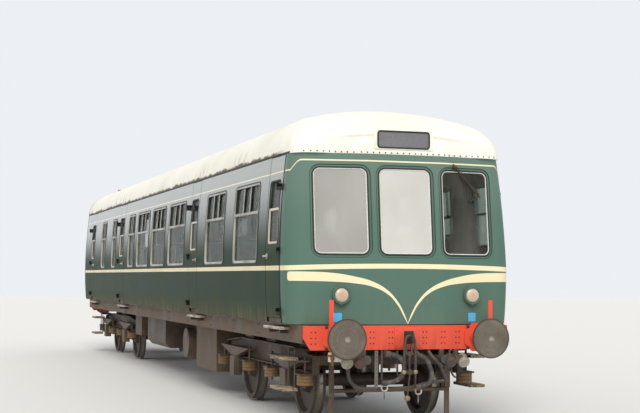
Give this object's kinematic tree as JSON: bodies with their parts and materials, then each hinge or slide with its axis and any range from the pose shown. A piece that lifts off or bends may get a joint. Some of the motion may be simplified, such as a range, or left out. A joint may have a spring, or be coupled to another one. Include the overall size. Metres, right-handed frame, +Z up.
{
  "type": "railway driving coach",
  "caption": "Passenger coach with a driving cab, slam doors and an end gangway, on two four-wheel bogies.",
  "frame": {"origin": "on the floor under the middle of the coach, at the level of the flange tips", "axes": "+Z up, length along Y with the cab towards -Y, +X to the right of someone who faces the cab front"},
  "size_m": [2.866, 18.446, 3.8698],
  "materials": {
    "glass": "clear",
    "green_paint": "gloss, weathered",
    "roof_paint": "matt, stained",
    "frame_metal": "dull",
    "red_paint": "gloss, worn",
    "worn_steel": "greasy, rusted",
    "wheel_steel": "dusty, bright tread",
    "step_timber": "weathered",
    "hose_rubber": "ribbed",
    "gangway_rubber": "matt",
    "seat_moquette": "woven",
    "interior_paint": "satin",
    "lamp_body": "worn",
    "blind_box": "matt",
    "fitting_metal": "dusty",
    "floor_boards": "worn",
    "underframe_paint": "dusty, rusted"
  },
  "bodies": {
    "coach_body": {"body_side_left": "green_paint", "body_side_right": "green_paint", "buffer_beams": "red_paint", "buffer_casings": "red_paint", "buffer_heads": "worn_steel", "cab_front": "green_paint", "cross_members": "underframe_paint", "destination_box": "blind_box", "drawgear": "worn_steel", "end_wall": "green_paint", "engines": "underframe_paint", "exhaust_pipes": "underframe_paint", "floor": "floor_boards", "footboards": "step_timber", "front_pipework": "fitting_metal", "gangway": "gangway_rubber", "hinge_brackets": "underframe_paint", "hose_left": "hose_rubber", "hose_right": "hose_rubber", "marker_lamps": "lamp_body", "roof": "roof_paint", "roof_ventilators": "roof_paint", "screens_and_desk": "interior_paint", "seats": "seat_moquette", "side_glazing": "glass", "solebars": "underframe_paint", "underfloor_equipment": "underframe_paint", "window_frames": "frame_metal", "windscreens": "glass", "wiper": "fitting_metal"},
    "cab_door_left_body": {"cab_door_left": "green_paint", "cab_door_glass_left": "glass"},
    "cab_door_right_body": {"cab_door_right": "green_paint", "cab_door_glass_right": "glass"},
    "door_1_left_body": {"door_1_left": "green_paint", "door_1_glass_left": "glass"},
    "door_1_right_body": {"door_1_right": "green_paint", "door_1_glass_right": "glass"},
    "door_2_left_body": {"door_2_left": "green_paint", "door_2_glass_left": "glass"},
    "door_2_right_body": {"door_2_right": "green_paint", "door_2_glass_right": "glass"},
    "door_3_left_body": {"door_3_left": "green_paint", "door_3_glass_left": "glass"},
    "door_3_right_body": {"door_3_right": "green_paint", "door_3_glass_right": "glass"},
    "bogie_1": {"bogie_1_frame": "underframe_paint", "bogie_1_suspension": "underframe_paint", "bogie_1_fittings": "step_timber"},
    "bogie_2": {"bogie_2_frame": "underframe_paint", "bogie_2_suspension": "underframe_paint", "bogie_2_fittings": "step_timber"},
    "wheelset_1": {"wheelset_1_wheels": "wheel_steel", "wheelset_1_axle": "wheel_steel"},
    "wheelset_2": {"wheelset_2_wheels": "wheel_steel", "wheelset_2_axle": "wheel_steel"},
    "wheelset_3": {"wheelset_3_wheels": "wheel_steel", "wheelset_3_axle": "wheel_steel"},
    "wheelset_4": {"wheelset_4_wheels": "wheel_steel", "wheelset_4_axle": "wheel_steel"}
  },
  "joints": [
    {"name": "cab_door_left_hinge", "type": "hinge", "parent": "coach_body", "child": "cab_door_left_body", "pos_m": [-1.419, -8.263, 2.078], "axis": [0, 0, 1], "range_deg": [0, 90]},
    {"name": "cab_door_right_hinge", "type": "hinge", "parent": "coach_body", "child": "cab_door_right_body", "pos_m": [1.419, -8.263, 2.078], "axis": [0, 0, 1], "range_deg": [-90, 0]},
    {"name": "door_1_left_hinge", "type": "hinge", "parent": "coach_body", "child": "door_1_left_body", "pos_m": [-1.419, -3.183, 2.078], "axis": [0, 0, 1], "range_deg": [-90, 0]},
    {"name": "door_1_right_hinge", "type": "hinge", "parent": "coach_body", "child": "door_1_right_body", "pos_m": [1.419, -3.183, 2.078], "axis": [0, 0, 1], "range_deg": [0, 90]},
    {"name": "door_2_left_hinge", "type": "hinge", "parent": "coach_body", "child": "door_2_left_body", "pos_m": [-1.419, 3.707, 2.078], "axis": [0, 0, 1], "range_deg": [-90, 0]},
    {"name": "door_2_right_hinge", "type": "hinge", "parent": "coach_body", "child": "door_2_right_body", "pos_m": [1.419, 3.707, 2.078], "axis": [0, 0, 1], "range_deg": [0, 90]},
    {"name": "door_3_left_hinge", "type": "hinge", "parent": "coach_body", "child": "door_3_left_body", "pos_m": [-1.419, 7.797, 2.078], "axis": [0, 0, 1], "range_deg": [-90, 0]},
    {"name": "door_3_right_hinge", "type": "hinge", "parent": "coach_body", "child": "door_3_right_body", "pos_m": [1.419, 7.797, 2.078], "axis": [0, 0, 1], "range_deg": [0, 90]},
    {"name": "bogie_1_swivel", "type": "hinge", "parent": "coach_body", "child": "bogie_1", "pos_m": [0, -6.096, 0.9], "axis": [0, 0, 1], "range_deg": [-5, 5]},
    {"name": "bogie_2_swivel", "type": "hinge", "parent": "coach_body", "child": "bogie_2", "pos_m": [0, 6.096, 0.9], "axis": [0, 0, 1], "range_deg": [-5, 5]},
    {"name": "wheelset_1_spin", "type": "hinge", "parent": "bogie_1", "child": "wheelset_1", "pos_m": [0, -7.3915, 0.485], "axis": [1, 0, 0], "continuous": true},
    {"name": "wheelset_2_spin", "type": "hinge", "parent": "bogie_1", "child": "wheelset_2", "pos_m": [0, -4.8005, 0.485], "axis": [1, 0, 0], "continuous": true},
    {"name": "wheelset_3_spin", "type": "hinge", "parent": "bogie_2", "child": "wheelset_3", "pos_m": [0, 4.8005, 0.485], "axis": [1, 0, 0], "continuous": true},
    {"name": "wheelset_4_spin", "type": "hinge", "parent": "bogie_2", "child": "wheelset_4", "pos_m": [0, 7.3915, 0.485], "axis": [1, 0, 0], "continuous": true}
  ]
}
